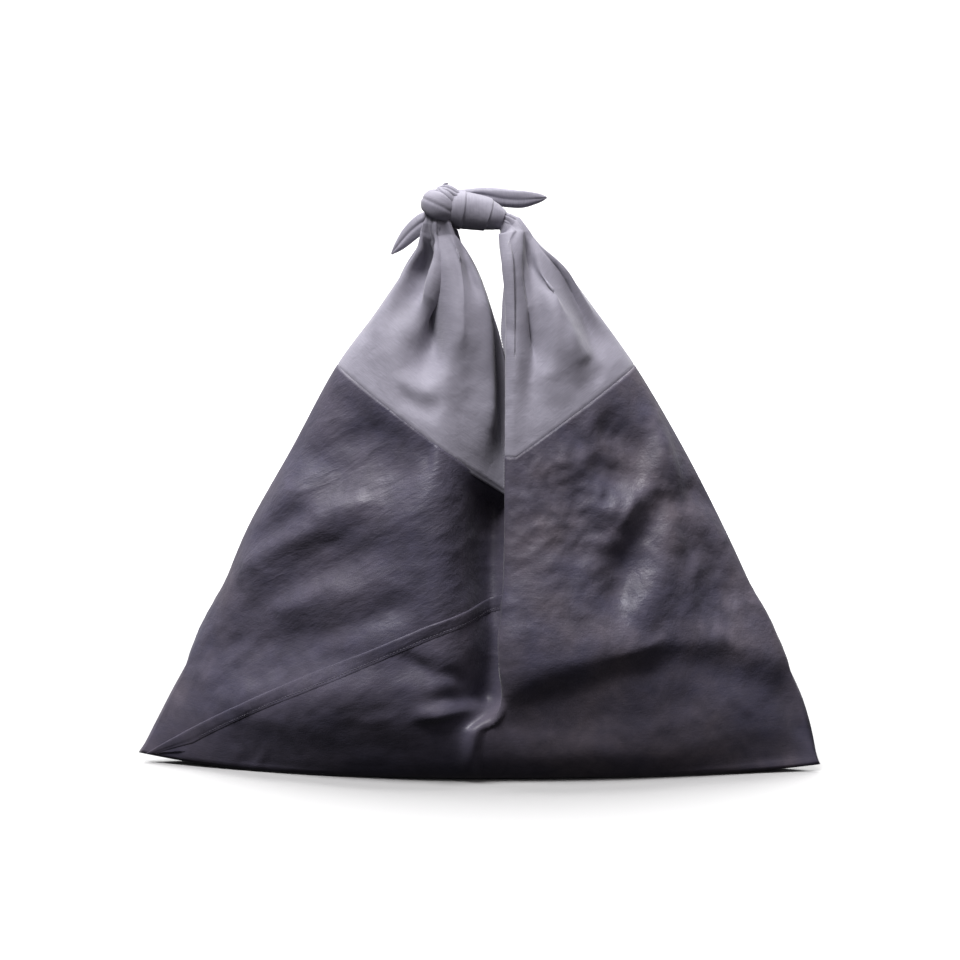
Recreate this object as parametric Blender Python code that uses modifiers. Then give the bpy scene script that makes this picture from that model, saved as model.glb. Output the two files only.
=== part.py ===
"""An azuma bag standing on a surface, in metres, +Z up, with its origin on the floor under its middle.

The bag is one strip of cloth, folded in thirds and sewn along two slanting seams, so that it ends in two peaks.
A soft tie cloth is sewn to each peak. Both ties are gathered and meet in one square knot, which is the handle.
The body is one thin shell that is open between its peaks. Each tie is one solid: a thin pleated cloth that closes
to a filled strand, runs through the knot and ends in a pointed tail.

The bag is made of two halves, left and right. The right one is the left one turned by half a turn about Z.
In a half, p runs outward from the middle to the side fold and q runs towards the half's tucked edge. The tucked
edge goes in behind the other half's rolled edge, in front on the left half and at the back on the right one.
"""

import math
from collections import namedtuple

import bmesh
import bpy
import numpy as np

MM = 0.001

# ---- driving sizes, in millimetres ----
CLOTH = 1.6  # thickness of the body and the ties
PIECE_GAP = 0.3  # between two pieces that meet
TUCK_REACH = 66.0  # how far the tucked cloth starts before its edge
FULL_TUCK_WIDTH = 100.0  # a half narrower than this tucks in over a shorter way
SIDE_LEAN = 20.0  # how far each bottom corner stands off the middle plane
TIP_LIFT = {"left": 5.0, "right": 2.5}
TIP_LIFT_ROWS = 4.0  # the lift has gone by this row

# One row for each ring of the bag, from the middle of its bottom to the knot.
#   low, high     height at the middle and at the side fold
#   left, right   distance from the middle to the side fold of each half
#   depth         half of the bag's depth at the middle
#   power         2 is a lens with sharp ends, 1 an ellipse
#   flat          share of the half that lies level before it rises to the side fold
#   middle        where the round part of the section starts
#   under_l, _r   tucked edge of each half: its distance from the middle
#   tuck          how deep the tucked edge lies behind the front
#   ridge_l, _r   rolled edge of each half: the distance of its roll from the middle
#   bend          the roll's size
#   hook, roll    the rolled edge's end: how far it comes back past the roll, and how deep it lies
#   turn          the angle, in degrees, through which the rolled edge has turned at its end
# Up to the notch row, each tucked edge meets the other half's rolled edge: under is -(ridge + hook).
Ring = namedtuple(
    "Ring",
    "low high left right depth power flat middle under_l under_r tuck ridge_l ridge_r bend hook roll turn",
)
RINGS = [
    Ring(0, 0, 297, 286, 0, 2.0, 0.55, 0, 11, 11, 0, 15, 15, 14, -26, 0, 0),
    Ring(0, 4, 296, 284, 44, 2.0, 0.52, 0, 11, 11, 0, 15, 15, 14, -26, 0, 0),
    Ring(5, 13, 291, 281, 60, 2.0, 0.45, 0, 11, 11, 0, 15, 15, 14, -26, 0, 0),
    Ring(20, 32, 282, 277, 74, 1.9, 0.35, 0, 11, 11, 0, 15, 15, 14, -26, 0, 0),
    Ring(46, 60, 268, 269, 84, 1.8, 0.20, 0, 8, 8, 3, 15, 15, 14, -23, 3, 15),
    Ring(72, 95, 249, 254, 87, 1.7, 0.10, 0, -19, -19, 24, 15, 15, 14, 4, 24, 105),
    Ring(108, 140, 227, 233, 86, 1.6, 0, 0, -23, -23, 30, 16, 16, 14, 7, 30, 125),
    Ring(156, 202, 201, 204, 82, 1.45, 0, 0, -24, -24, 32, 16, 16, 14, 8, 32, 130),
    Ring(204, 272, 162, 168, 75, 1.3, 0, 0, -25, -25, 34, 15, 15, 13, 12, 22, 130),
    Ring(254, 343, 123, 126, 66, 1.15, 0, 0, -25, -20, 32, 15, 15, 11, 12, 17, 140),
    Ring(306, 385, 92, 96, 53, 1.0, 0, 3, -22, 8, 27, 17, 17, 9, 10, 13, 145),
    Ring(360, 420, 68, 69, 38, 1.0, 0, 9, -17, 18, 20, 20, 18, 8, 9, 10, 150),
    Ring(410, 442, 54, 46, 24, 1.0, 0, 17, 0, 20, 9, 23, 18, 7, 4, 9, 120),
    Ring(450, 455, 52, 36, 14, 1.0, 0, 28, 24, 17, 4, 25, 14, 6, 0, 8, 80),
]
NOTCH_ROW = 7  # above this row the two halves are apart
PARTING_ROWS = 1.5  # over which their edges part in height
SEAM_ROW = 9  # the body ends and the ties begin here
# The rolled edge's curve: its pull at the roll, in bends, and at its end, as a share of its width.
ROLL_PULL, END_PULL = 1.75, 0.35

# One row for each ridge (height over 0) or trough (under 0) of a half.
# Angles run from the tucked edge, 0, over the side fold, 90, to the rolled edge, 180.
Fold = namedtuple("Fold", "side row_a angle_a row_b angle_b width height")
FOLDS = [
    # the right half of the body
    Fold("right", 8.7, 108, 5.6, 156, 9, -8),
    Fold("right", 8.6, 146, 6.0, 148, 13, 5),
    Fold("right", 7.8, 120, 4.2, 128, 12, 5),
    Fold("right", 8.8, 30, 5.0, 62, 11, -5),
    # the left half of the body
    Fold("left", 8.8, 58, 5.2, 74, 11, -5),
    Fold("left", 8.2, 30, 4.8, 52, 12, 5),
    Fold("left", 6.6, 18, 4.0, 36, 8, -4),
    Fold("left", 8.8, 120, 5.0, 150, 10, -6),
    Fold("left", 8.0, 146, 4.6, 122, 12, 5),
    # the left tie, front then back
    Fold("left", 15, 2, 9.4, 14, 9, 5),
    Fold("left", 15, 17, 9.7, 43, 10, -12),
    Fold("left", 15, 45, 9.4, 62, 10, 4),
    Fold("left", 15, 68, 10, 74, 8, -5),
    Fold("left", 15, 118, 9.6, 112, 9, -8),
    Fold("left", 15, 146, 9.3, 152, 9, -7),
    # the right tie, front then back
    Fold("right", 15, 160, 9.5, 153, 8, -10),
    Fold("right", 15, 143, 9.5, 126, 8, 5),
    Fold("right", 15, 122, 9.5, 108, 8, -8),
    Fold("right", 15, 66, 9.5, 62, 9, -8),
    Fold("right", 15, 32, 9.8, 26, 9, -6),
]
# At the neck the folds get narrow and shallow, from this width of a half on.
GATHER_FROM, GATHER_LEAST = 60.0, 0.3
# How fast a fold reaches its full height at row_a and loses it at row_b, as parts of its length.
FOLD_RISE, FOLD_FALL = 1 / 4, 1 / 2.5

# One row for each soft bulge (height over 0) or hollow (under 0), with its centre and its size each way.
Bulge = namedtuple("Bulge", "side row angle rows angles height")
BULGES = [
    Bulge("right", 5.9, 135, 0.9, 26, 7),
    Bulge("right", 3.7, 132, 0.9, 28, -6),
    Bulge("left", 5.2, 45, 1.2, 25, 3),
]

# One row for each section of a strand of gathered cloth, in millimetres.
#   x, y, z      its centre
#   wide, deep   half of its width, and half of its thickness
Strand = namedtuple("Strand", "x y z wide deep")
NECKS = {
    "left": [  # up through the collar, over and down into the barrel
        Strand(-38, 0, 460.5, 13, 12.5),
        Strand(-38, 0, 468, 10, 10),
        Strand(-36, 0, 478, 8.5, 9),
        Strand(-32, -2, 486, 7.5, 8),
        Strand(-25, -3, 482.5, 7, 8),
        Strand(-15, -2, 477, 6, 7),
    ],
    "right": [  # into the barrel's right end and through it to the collar
        Strand(22, 0, 458, 11, 11),
        Strand(18, 0, 461.8, 8.2, 9),
        Strand(7, 0, 467, 6, 7),
        Strand(-8, 0, 470.5, 6, 6.5),
        Strand(-20, -5, 470, 5.5, 6),
        Strand(-26, -9, 470, 4, 4),
    ],
}
# Where the strand starts inside its hollow cloth, which comes with it as far as NECK_SHEET rows.
ROOTS = {"left": Strand(-38, 0, 436, 4, 4), "right": Strand(30, 0, 436, 4, 4)}
NECK_SHEET = 1
FILLING = 0.86  # the strand's size inside its cloth, as a share
TAILS = {
    "left": [
        Strand(-36, 3, 474, 4, 4),
        Strand(-43, 7, 466, 6, 4.5),
        Strand(-52, 10, 460.5, 7.5, 4.5),
        Strand(-62, 11, 452, 7, 4),
        Strand(-71, 10, 442, 4.5, 3),
        Strand(-77, 9, 435.5, 1.0, 0.8),
    ],
    "right": [
        Strand(-34, 11, 480, 4, 4),
        Strand(-20, 16, 483.5, 5, 4),
        Strand(-5, 18.5, 483.5, 6.5, 4),
        Strand(14, 18.5, 482, 8, 4),
        Strand(30, 17.5, 481, 8, 4),
        Strand(43, 16, 481.3, 5.2, 3),
        Strand(53.5, 15, 482.5, 1.0, 0.8),
    ],
}
# The left tie's turns round the right tie, as one barrel with a crease between two turns.
BARREL = [
    Strand(-26, 0, 473, 12, 12),
    Strand(-22, 0, 473, 15, 14.5),
    Strand(-17, 0, 472, 15.4, 15),
    Strand(-14.5, 0, 471.5, 14.3, 14),
    Strand(-12, 0, 471.3, 15.1, 15),
    Strand(-5, 0, 470, 14.6, 15),
    Strand(0, 0, 468.7, 13.7, 14.5),
    Strand(2.5, 0, 468, 12.3, 13.4),
    Strand(5, 0, 467.4, 12.2, 13.6),
    Strand(10, 0, 465.7, 10.3, 12),
    Strand(15.5, 0, 463.5, 8, 9.5),
]
# The right tie's turn round the left one, as a collar.
COLLAR_CENTRE = (-36, 0, 474)
COLLAR_RADIUS = 12.0
COLLAR_WIDE, COLLAR_DEEP = 7.2, 3.0  # half of the band's width, and half of its thickness
COLLAR_TILT = 25.0  # degrees by which its right side hangs
PLEATS = 5  # round the filled strand of each neck
PLEAT_DEPTH = 0.10  # as a share of a strand's size

# ---- materials ----
CHARCOAL, CHARCOAL_ROUGHNESS = (0.045, 0.042, 0.055), 0.75
GREY, GREY_ROUGHNESS = (0.32, 0.31, 0.35), 0.8

# ---- how finely the surfaces are drawn ----
RINGS_PER_ROW = 2.5
UNDER_COLUMNS, OVER_COLUMNS, ROLL_COLUMNS = 16, 12, 6
BOTTOM_ROWS = 3
STRAND_POINTS, STRAND_RINGS_PER_ROW = 16, 3
DENSE = 160  # points of a section before it is spaced out

SEAM_GAP_ROWS = 0.008  # what PIECE_GAP comes to at the seam, in rows


def slopes(values):
    """Slopes for a curve through values that never overshoots them."""
    steps = np.diff(values, axis=0)
    inner = np.zeros_like(values)
    before, after = steps[:-1], steps[1:]
    same = before * after > 0
    total = np.where(same, before + after, 1.0)
    inner[1:-1] = np.where(same, 2 * before * after / total, 0.0)
    inner[0], inner[-1] = steps[0], steps[-1]
    return inner


def between(table, row):
    """The table's values at a row number that need not be whole."""
    values = np.array(table, float)
    tilt = slopes(values)
    i = min(int(row), len(values) - 2)
    t = row - i
    a, b = 2 * t**3 - 3 * t**2 + 1, t**3 - 2 * t**2 + t
    c, d = -2 * t**3 + 3 * t**2, t**3 - t**2
    return a * values[i] + b * tilt[i] + c * values[i + 1] + d * tilt[i + 1]


def ring_at(row):
    return Ring(*between(RINGS, row))


def smooth(t):
    t = np.clip(t, 0, 1)
    return t * t * (3 - 2 * t)


def spaced(points, count):
    """count + 1 points at even distances along a line of points."""
    run = np.concatenate([[0], np.cumsum(np.linalg.norm(np.diff(points, axis=0), axis=1))])
    wanted = np.linspace(0, run[-1], count + 1)
    return np.stack([np.interp(wanted, run, points[:, k]) for k in range(points.shape[1])], axis=1)


def reach(ring, side):
    return ring.left if side == "left" else ring.right


def under_edge(ring, side):
    return ring.under_l if side == "left" else ring.under_r


def ridge_of(ring, side):
    return ring.ridge_l if side == "left" else ring.ridge_r


def over_edge(ring, side):
    return ridge_of(ring, side) + ring.hook


def height(ring, row, side, p):
    """Height of the ring at distance p from the middle."""
    share = p / reach(ring, side)
    lift = TIP_LIFT[side] * smooth(1 - row / TIP_LIFT_ROWS)
    rise = np.maximum(share - ring.flat, 0 if ring.flat > 0 else -1) / (1 - ring.flat)
    rise = np.where(rise > 0, np.abs(rise) ** (1 + 2 * ring.flat), rise)
    return ring.low + (ring.high + lift - ring.low) * rise


def front_line(ring, side, p):
    """Depth of the plain section at distance p."""
    share = np.clip((p - ring.middle) / (reach(ring, side) - ring.middle), 0, 1)
    return ring.depth * (1 - share**2) ** (ring.power / 2)


def angle_of(ring, side, p):
    share = np.clip((p - ring.middle) / (reach(ring, side) - ring.middle), -1, 1)
    return np.degrees(np.arcsin(share))


def raised(ring, line, angles, row, side):
    """The line moved along its outward normal by the folds and bulges that it crosses."""
    gather = np.clip((reach(ring, side) - ring.middle) / GATHER_FROM, GATHER_LEAST, 1)
    lift = np.zeros(len(line))
    for fold in FOLDS:
        along = (row - fold.row_a) / (fold.row_b - fold.row_a)
        if fold.side != side or not 0 < along < 1:
            continue
        centre = fold.angle_a + along * (fold.angle_b - fold.angle_a)
        strength = gather * smooth(along / FOLD_RISE) * smooth((1 - along) / FOLD_FALL)
        width = fold.width / math.sqrt(gather)
        lift += fold.height * strength * np.exp(-(((angles - centre) / width) ** 2))
    for bulge in BULGES:
        if bulge.side == side:
            away = ((angles - bulge.angle) / bulge.angles) ** 2 + ((row - bulge.row) / bulge.rows) ** 2
            lift += bulge.height * np.exp(-away)
    run = np.gradient(line, axis=0)
    run /= np.linalg.norm(run, axis=1, keepdims=True) + 1e-9
    normal = np.stack([-run[:, 1], run[:, 0]], axis=1)
    return line + normal * lift[:, None]


def under_line(ring, side):
    """Tucked part of a section, from its edge to the side fold, as (p, q) points with their angles."""
    edge = under_edge(ring, side)
    t = np.sin(np.linspace(0, math.pi / 2, DENSE))
    p = edge + (reach(ring, side) - edge) * t
    start = edge + TUCK_REACH * min(1, reach(ring, side) / FULL_TUCK_WIDTH)
    q = front_line(ring, side, p) - ring.tuck * smooth((start - p) / (start - edge))
    return np.stack([p, q], axis=1), angle_of(ring, side, p)


def over_line(ring, side):
    """Rolled part of a section, from the side fold to where the roll begins."""
    t = np.cos(np.linspace(0, math.pi / 2, DENSE))
    begin = ridge_of(ring, side) + ring.bend
    p = begin + (reach(ring, side) - begin) * t
    return np.stack([p, -front_line(ring, side, p)], axis=1), 180 - angle_of(ring, side, p)


def roll_line(ring, side, first):
    """The rolled edge, as one Bezier curve from the point first to the edge's end."""
    last = np.array([over_edge(ring, side), ring.roll - ring.depth])
    turn = math.radians(ring.turn)
    leaving = np.array([-1.0, 0.0])
    arriving = np.array([-math.cos(turn), math.sin(turn)])
    a = first + leaving * ROLL_PULL * ring.bend
    b = last - arriving * END_PULL * np.linalg.norm(last - first)
    t = np.linspace(0, 1, DENSE)[:, None]
    return (1 - t) ** 3 * first + 3 * t * (1 - t) ** 2 * a + 3 * t**2 * (1 - t) * b + t**3 * last


def lean(ring, p):
    """The bottom corners stand off the middle plane, each towards its rolled edge."""
    return -SIDE_LEAN * np.clip(p / RINGS[0].left, 0, 1) ** 2


def to_world(side, p, q, z):
    turn = -1 if side == "left" else 1
    return np.stack([turn * p, turn * q, z], axis=1)


def half_line(row, side):
    """One half of a ring from its tucked edge to its rolled edge, as (p, q) points and their heights."""
    ring = ring_at(row)
    other = "right" if side == "left" else "left"
    line, angles = under_line(ring, side)
    under = spaced(raised(ring, line[::-1], angles[::-1], row, side)[::-1], UNDER_COLUMNS)
    line, angles = over_line(ring, side)
    line = raised(ring, line[::-1], angles[::-1], row, side)[::-1]
    over = spaced(line, OVER_COLUMNS)
    roll = spaced(roll_line(ring, side, over[-1]), ROLL_COLUMNS)
    under_z = height(ring, row, side, under[:, 0])
    over_z = height(ring, row, side, over[:, 0])
    joined = height(ring, row, other, np.array([-over_edge(ring, side)]))[0]
    parted = height(ring, row, side, np.array([over_edge(ring, side)]))[0]
    apart = smooth((row - NOTCH_ROW) / PARTING_ROWS)
    end_z = joined + apart * (parted - joined)
    roll_z = over_z[-1] + np.linspace(0, 1, ROLL_COLUMNS + 1) * (end_z - over_z[-1])
    flat = np.concatenate([under, over[1:], roll[1:]])
    flat[:, 1] += lean(ring, flat[:, 0])
    return flat, np.concatenate([under_z, over_z[1:], roll_z[1:]])


def half_ring(row, side):
    flat, z = half_line(row, side)
    return to_world(side, flat[:, 0], flat[:, 1], z)


def joined_rings():
    """The body's rings, each as its left and right halves, which share their edges below the notch."""
    rings = []
    for row in np.linspace(1, SEAM_ROW, round((SEAM_ROW - 1) * RINGS_PER_ROW) + 1):
        left = half_ring(row, "left")
        right = half_ring(row, "right")
        if row <= NOTCH_ROW:
            left[-1] = right[0]
            right[-1] = left[0]
        rings.append((row, left, right))
    return rings


def body_mesh():
    """The body's outer surface: its wall, ring by ring, and the flat lens that it rests on."""
    bm = bmesh.new()
    rings = []
    for row, left, right in joined_rings():
        first = [bm.verts.new(point * MM) for point in left]
        second = [bm.verts.new(point * MM) for point in right]
        if row <= NOTCH_ROW:
            bm.verts.remove(first[-1])
            bm.verts.remove(second[-1])
            first[-1] = second[0]
            second[-1] = first[0]
        rings.append((first, second))
    for below, above in zip(rings, rings[1:]):
        for low, high in zip(below, above):
            for i in range(len(low) - 1):
                bm.faces.new((low[i], low[i + 1], high[i + 1], high[i]))
    close_bottom(bm, rings[0])
    bmesh.ops.recalc_face_normals(bm, faces=bm.faces)
    return finished(bm, "bag_body")


def close_bottom(bm, ring):
    """Joins the front half of the lowest ring to its back half, from one corner of the bag to the other."""
    left, right = ring
    side, last = UNDER_COLUMNS, len(left) - 1
    front = left[side::-1] + right[last - 1 : side - 1 : -1]
    back = left[side:] + right[1 : side + 1]
    lines = []
    for near, far in zip(front, back):
        if near == far:
            lines.append([near] * (BOTTOM_ROWS + 1))
            continue
        steps = [near.co.lerp(far.co, k / BOTTOM_ROWS) for k in range(1, BOTTOM_ROWS)]
        lines.append([near] + [bm.verts.new(point) for point in steps] + [far])
    for here, there in zip(lines, lines[1:]):
        for k in range(BOTTOM_ROWS):
            corners = [here[k], here[k + 1], there[k + 1], there[k]]
            bm.faces.new(list(dict.fromkeys(corners)))


def finished(bm, name):
    mesh = bpy.data.meshes.new(name)
    bm.to_mesh(mesh)
    bm.free()
    mesh.shade_smooth()
    return bpy.data.objects.new(name, mesh)


def strand_frames(rows, side_way):
    """The centre, width and thickness directions and sizes of every section along a strand."""
    count = (len(rows) - 1) * STRAND_RINGS_PER_ROW
    sections = np.array([between(rows, i / STRAND_RINGS_PER_ROW) for i in range(count + 1)])
    centres = sections[:, :3]
    ahead = np.gradient(centres, axis=0)
    ahead /= np.linalg.norm(ahead, axis=1, keepdims=True)
    frames, wide = [], np.array(side_way, float)
    for centre, way, sizes in zip(centres, ahead, sections[:, 3:]):
        wide = wide - way * np.dot(wide, way)
        wide /= np.linalg.norm(wide)
        frames.append((centre, wide, np.cross(way, wide), sizes))
    return frames


def strand_section(frame, angles, grow=0.0, pleats=0):
    """Points of one section of a strand at these angles, in degrees from its width direction."""
    centre, wide, deep, sizes = frame
    turn = np.radians(angles)
    size = 1 - PLEAT_DEPTH * (1 - np.cos(pleats * turn)) / 2
    a = np.cos(turn) * (sizes[0] * size + grow)
    b = np.sin(turn) * (sizes[1] * size + grow)
    return centre + a[:, None] * wide + b[:, None] * deep


def skin(bm, rings, wrap=False):
    """Joins closed rings of points with faces. It returns the rings' vertices."""
    made = [[bm.verts.new(point * MM) for point in ring] for ring in rings]
    count = len(made[0])
    following = made[1:] + made[:1] if wrap else made[1:]
    for low, high in zip(made, following):
        for i in range(count):
            j = (i + 1) % count
            bm.faces.new((low[i], low[j], high[j], high[i]))
    return made


def cap(bm, ring):
    middle = bm.verts.new(sum((v.co for v in ring), ring[0].co * 0) / len(ring))
    for i in range(len(ring)):
        bm.faces.new((ring[i], ring[(i + 1) % len(ring)], middle))


def strand_object(name, rows, side_way, grow=0.0, pleats=0):
    bm = bmesh.new()
    angles = np.arange(STRAND_POINTS) * 360 / STRAND_POINTS
    frames = strand_frames(rows, side_way)
    made = skin(bm, [strand_section(frame, angles, grow, pleats) for frame in frames])
    cap(bm, made[0])
    cap(bm, made[-1])
    bmesh.ops.recalc_face_normals(bm, faces=bm.faces)
    return finished(bm, name)


def collar_object(name, grow=0.0):
    """A closed band round the left tie, hanging towards its right side."""
    bm = bmesh.new()
    tilt = math.radians(COLLAR_TILT)
    across = np.array([math.cos(tilt), 0, -math.sin(tilt)])
    axis = np.array([math.sin(tilt), 0, math.cos(tilt)])
    angles = np.arange(STRAND_POINTS) * 360 / STRAND_POINTS
    rings = []
    for turn in np.linspace(0, 2 * math.pi, 2 * STRAND_POINTS, endpoint=False):
        out = math.cos(turn) * across + math.sin(turn) * np.array([0, 1, 0])
        frame = (np.array(COLLAR_CENTRE) + COLLAR_RADIUS * out, axis, out, (COLLAR_WIDE, COLLAR_DEEP))
        rings.append(strand_section(frame, angles, grow))
    skin(bm, rings, wrap=True)
    bmesh.ops.recalc_face_normals(bm, faces=bm.faces)
    return finished(bm, name)


def sheet_outline(line):
    """A line of (p, q) points and, back to its start, the same line CLOTH further in."""
    run = np.gradient(line, axis=0)
    run /= np.linalg.norm(run, axis=1, keepdims=True)
    inner = line + CLOTH * np.stack([run[:, 1], -run[:, 0]], axis=1)
    return np.concatenate([line, inner[::-1]])


def tie_sheet(name, side):
    """The pleated cloth of a tie, from the seam to its neck, which it follows for a short way."""
    top = len(RINGS) - 1
    rings = []
    first = SEAM_ROW + SEAM_GAP_ROWS
    for row in np.linspace(first, top, round((top - SEAM_ROW) * RINGS_PER_ROW) + 1):
        flat, z = half_line(row, side)
        outline = sheet_outline(flat)
        rings.append(to_world(side, outline[:, 0], outline[:, 1], np.concatenate([z, z[::-1]])))
    low, high = flat.min(axis=0), flat.max(axis=0)
    shape = (flat - (low + high) / 2) / ((high - low) / 2)
    frames = strand_frames(NECKS[side], outward_of(side))
    for centre, wide, deep, sizes in frames[: NECK_SHEET * STRAND_RINGS_PER_ROW + 1]:
        outline = sheet_outline(shape * sizes)
        rings.append(centre + outline[:, :1] * wide + outline[:, 1:] * deep)
    bm = bmesh.new()
    made = skin(bm, rings)
    half = len(rings[0]) // 2
    for end in (made[0], made[-1]):
        for i in range(half - 1):
            bm.faces.new((end[i], end[i + 1], end[-2 - i], end[-1 - i]))
    bmesh.ops.recalc_face_normals(bm, faces=bm.faces)
    return finished(bm, name)


def outward_of(side):
    return (-1, 0, 0) if side == "left" else (1, 0, 0)


def neck_strand(name, side):
    """The filled strand that a tie's cloth gathers to, which runs into the knot."""
    inside = [row._replace(wide=row.wide * FILLING, deep=row.deep * FILLING) for row in NECKS[side]]
    rows = [ROOTS[side]] + inside[:NECK_SHEET] + NECKS[side][NECK_SHEET:]
    return strand_object(name, rows, outward_of(side), pleats=PLEATS)


def material(name, colour, roughness):
    made = bpy.data.materials.new(name)
    made.use_nodes = True
    shader = made.node_tree.nodes["Principled BSDF"]
    shader.inputs["Base Color"].default_value = (*colour, 1)
    shader.inputs["Roughness"].default_value = roughness
    return made


def add_boolean(target, operation, other):
    modifier = target.modifiers.new(operation.lower() + "_" + other.name, "BOOLEAN")
    modifier.operation = operation
    modifier.object = other


def clear_scene():
    for thing in list(bpy.data.objects):
        bpy.data.objects.remove(thing)


def new_collection(name):
    collection = bpy.data.collections.new(name)
    bpy.context.scene.collection.children.link(collection)
    return collection


def build():
    clear_scene()
    parts = new_collection("azuma_bag")
    helpers = new_collection("helpers")
    charcoal = material("charcoal_cloth", CHARCOAL, CHARCOAL_ROUGHNESS)
    grey = material("grey_cloth", GREY, GREY_ROUGHNESS)

    body = body_mesh()
    thick = body.modifiers.new("thickness", "SOLIDIFY")
    thick.thickness = CLOTH * MM
    thick.offset = -1
    left = tie_sheet("tie_left", "left")
    right = tie_sheet("tie_right", "right")

    up = (0, 0, 1)
    joined = {
        left: [
            neck_strand("left_neck", "left"),
            strand_object("left_tail", TAILS["left"], up),
            strand_object("left_barrel", BARREL, up),
        ],
        right: [
            neck_strand("right_neck", "right"),
            strand_object("right_tail", TAILS["right"], up),
            collar_object("right_collar"),
        ],
    }
    cut = [
        strand_object("neck_gap", NECKS["right"], outward_of("right"), grow=PIECE_GAP),
        strand_object("tail_gap", TAILS["right"], up, grow=PIECE_GAP),
        collar_object("collar_gap", grow=PIECE_GAP),
    ]
    for tie, pieces in joined.items():
        for piece in pieces:
            add_boolean(tie, "UNION", piece)
    for piece in cut:
        add_boolean(left, "DIFFERENCE", piece)

    middle = (RINGS[1].left - RINGS[1].right) / 2
    for piece in [body, left, right] + cut + joined[left] + joined[right]:
        piece.location.x = middle * MM  # both bottom corners then lie equally far from the origin
    for piece in cut + joined[left] + joined[right]:
        helpers.objects.link(piece)
        piece.hide_render = True
        piece.display_type = "WIRE"
    for piece, finish in ((body, charcoal), (left, grey), (right, grey)):
        parts.objects.link(piece)
        piece.data.materials.append(finish)


build()
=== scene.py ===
import math
from collections import namedtuple

import bmesh
import bpy
import numpy as np
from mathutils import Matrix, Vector, noise
from mathutils.bvhtree import BVHTree


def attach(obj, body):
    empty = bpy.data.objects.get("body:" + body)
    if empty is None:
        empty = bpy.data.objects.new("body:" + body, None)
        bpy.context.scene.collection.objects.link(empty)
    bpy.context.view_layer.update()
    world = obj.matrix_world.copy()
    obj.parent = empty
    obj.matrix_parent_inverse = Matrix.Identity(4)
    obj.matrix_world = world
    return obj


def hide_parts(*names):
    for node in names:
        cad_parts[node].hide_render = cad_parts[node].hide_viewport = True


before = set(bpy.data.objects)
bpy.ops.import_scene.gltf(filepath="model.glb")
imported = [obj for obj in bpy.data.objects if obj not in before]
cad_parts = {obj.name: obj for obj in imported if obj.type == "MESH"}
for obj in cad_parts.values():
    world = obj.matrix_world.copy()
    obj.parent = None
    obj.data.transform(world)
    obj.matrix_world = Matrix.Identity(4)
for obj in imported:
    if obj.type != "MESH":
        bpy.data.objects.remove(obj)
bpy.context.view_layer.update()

# ==== Room ====
# A white paper sweep under the bag that curves up behind it, lit by broad lamps high in front on the left and behind,
# by a faint one in front on the right and from above. The camera stands 2.6 m away, a little above the bag.
def placed(name, data):
    """A new object in the room."""
    made = bpy.data.objects.new(name, data)
    bpy.context.scene.collection.objects.link(made)
    return made


AIM = Vector((0.0026, 0.0, 0.2457))
CAMERA_DISTANCE, CAMERA_RISE, CAMERA_ANGLE = 2.6, math.radians(7), math.radians(17.65)
camera = placed("camera", bpy.data.cameras.new("camera"))
camera.data.angle = CAMERA_ANGLE
camera.location = AIM + CAMERA_DISTANCE * Vector((0, -math.cos(CAMERA_RISE), math.sin(CAMERA_RISE)))
camera.rotation_euler = (math.pi / 2 - CAMERA_RISE, 0, 0)
bpy.context.scene.camera = camera
bpy.context.scene.view_settings.view_transform = "Standard"

SWEEP_HALF, SWEEP_FRONT, SWEEP_BACK, SWEEP_BEND, SWEEP_HEIGHT = 5.0, -4.0, 2.0, 1.2, 4.0
sweep_profile = [(SWEEP_FRONT, 0.0)]
for step in range(13):
    bend = math.pi / 2 * step / 12
    sweep_profile.append((SWEEP_BACK + SWEEP_BEND * math.sin(bend), SWEEP_BEND * (1 - math.cos(bend))))
sweep_profile.append((SWEEP_BACK + SWEEP_BEND, SWEEP_HEIGHT))
sweep_points = [(x, y, z) for y, z in sweep_profile for x in (-SWEEP_HALF, SWEEP_HALF)]
sweep_faces = [(2 * i, 2 * i + 1, 2 * i + 3, 2 * i + 2) for i in range(len(sweep_profile) - 1)]
sweep_mesh = bpy.data.meshes.new("paper_sweep")
sweep_mesh.from_pydata(sweep_points, [], sweep_faces)
sweep_mesh.shade_smooth()
sweep = placed("paper_sweep", sweep_mesh)


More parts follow.
